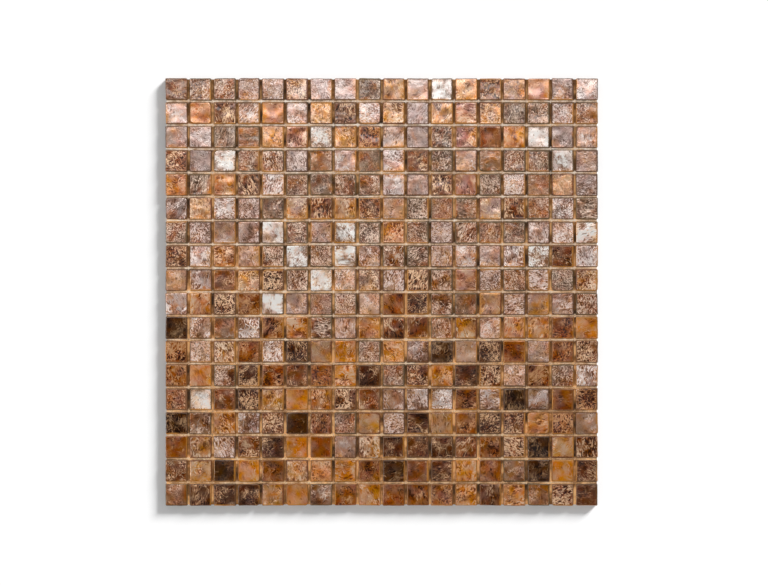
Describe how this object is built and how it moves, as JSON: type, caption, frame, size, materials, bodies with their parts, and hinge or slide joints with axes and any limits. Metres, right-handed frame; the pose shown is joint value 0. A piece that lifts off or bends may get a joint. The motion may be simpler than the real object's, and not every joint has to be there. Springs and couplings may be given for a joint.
{
  "type": "mosaic tile sheet",
  "caption": "Square sheet of small cushion-edged glass tesserae in a mixed warm blend, laid on an open yarn net with recessed filled joints.",
  "frame": {"origin": "centre of the sheet, at the underside of the backing net", "axes": "+X along the rows of tesserae, +Y up the columns towards the row with the lightest blend, +Z out of the glass face"},
  "size_m": [0.2976, 0.2942, 0.0045],
  "materials": {
    "rose_glass": "hammered, iridescent",
    "taupe_glass": "crackled, iridescent",
    "blush_glass": "wrinkled, iridescent",
    "silver_glass": "crumpled, metallic backed",
    "copper_glass": "hammered, metallic backed",
    "amber_glass": "smooth, gloss",
    "bronze_glass": "rippled, gloss",
    "chestnut_glass": "smooth, gloss",
    "umber_glass": "streaked, gloss",
    "ember_glass": "streaked, gloss",
    "cream_grout": "matt, fine sanded",
    "net_yarn": "coated glass yarn"
  },
  "bodies": {
    "root": {"rose_tiles": "rose_glass", "taupe_tiles": "taupe_glass", "blush_tiles": "blush_glass", "silver_tiles": "silver_glass", "copper_tiles": "copper_glass", "amber_tiles": "amber_glass", "bronze_tiles": "bronze_glass", "chestnut_tiles": "chestnut_glass", "umber_tiles": "umber_glass", "ember_tiles": "ember_glass", "joint_grout": "cream_grout", "net_warp": "net_yarn", "net_weft": "net_yarn"}
  },
  "joints": []
}
